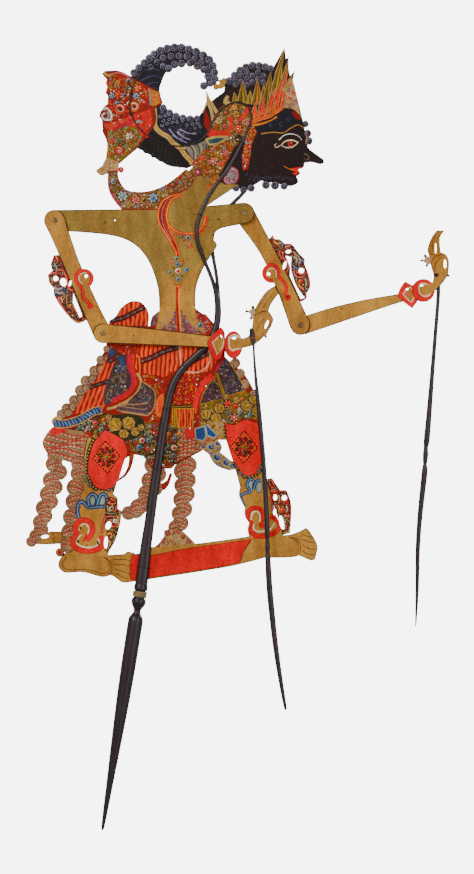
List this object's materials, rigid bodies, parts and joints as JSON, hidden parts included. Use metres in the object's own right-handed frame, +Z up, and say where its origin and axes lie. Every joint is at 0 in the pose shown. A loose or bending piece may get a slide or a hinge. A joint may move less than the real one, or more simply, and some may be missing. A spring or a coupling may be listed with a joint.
{
  "type": "flat rod puppet",
  "caption": "Flat perforated rawhide puppet clamped in a split horn rod with a spiked handle, with arms hinged at shoulder and elbow and worked by horn arm rods.",
  "frame": {"origin": "middle of the handle's grip, on the handle's own axis", "axes": "+Z up along the figure's height, +X to the right as the figure is seen from its front, front towards -Y; the hide sheet lies in the XZ plane"},
  "size_m": [0.4244, 0.0332, 0.7863],
  "materials": {
    "hide": "painted and gilded rawhide",
    "horn": "polished buffalo horn",
    "bone": "polished bone",
    "thread": "waxed thread",
    "red_thread": "waxed thread"
  },
  "bodies": {
    "figure": {"body_hide": "hide", "main_rod": "horn", "rod_binding": "thread", "rod_stitches": "thread", "front_prong_stitches": "thread", "back_prong_stitches": "thread", "left_shoulder_pin": "bone", "left_shoulder_washer": "bone", "right_shoulder_pin": "bone", "right_shoulder_washer": "bone", "right_shoulder_spacer": "horn"},
    "left_upper_arm": {"left_upper_arm": "hide", "left_elbow_pin": "bone", "left_elbow_washer": "bone"},
    "left_forearm": {"left_forearm": "hide"},
    "left_rod": {"left_arm_rod": "horn", "left_hand_tie": "red_thread"},
    "right_upper_arm": {"right_upper_arm": "hide", "right_elbow_pin": "bone", "right_elbow_washer": "bone"},
    "right_forearm": {"right_forearm": "hide"},
    "right_rod": {"right_arm_rod": "horn", "right_hand_tie": "red_thread"}
  },
  "joints": [
    {"name": "left_shoulder", "type": "hinge", "parent": "figure", "child": "left_upper_arm", "pos_m": [-0.0784, -0.00175, 0.4165], "axis": [0, -1, 0], "range_deg": [-60, 100]},
    {"name": "left_elbow", "type": "hinge", "parent": "left_upper_arm", "child": "left_forearm", "pos_m": [-0.0297, -0.0058, 0.3035], "axis": [0, -1, 0], "range_deg": [-130, 130]},
    {"name": "left_hand", "type": "hinge", "parent": "left_forearm", "child": "left_rod", "pos_m": [0.1196, -0.0058, 0.2988], "axis": [0, -1, 0], "range_deg": [-90, 90]},
    {"name": "right_shoulder", "type": "hinge", "parent": "figure", "child": "right_upper_arm", "pos_m": [0.1111, 0.0032, 0.4238], "axis": [0, -1, 0], "range_deg": [-30, 110]},
    {"name": "right_elbow", "type": "hinge", "parent": "right_upper_arm", "child": "right_forearm", "pos_m": [0.1673, 0.0065, 0.312], "axis": [0, -1, 0], "range_deg": [-150, 100]},
    {"name": "right_hand", "type": "hinge", "parent": "right_forearm", "child": "right_rod", "pos_m": [0.3035, 0.0065, 0.362], "axis": [0, -1, 0], "range_deg": [-90, 90]}
  ]
}
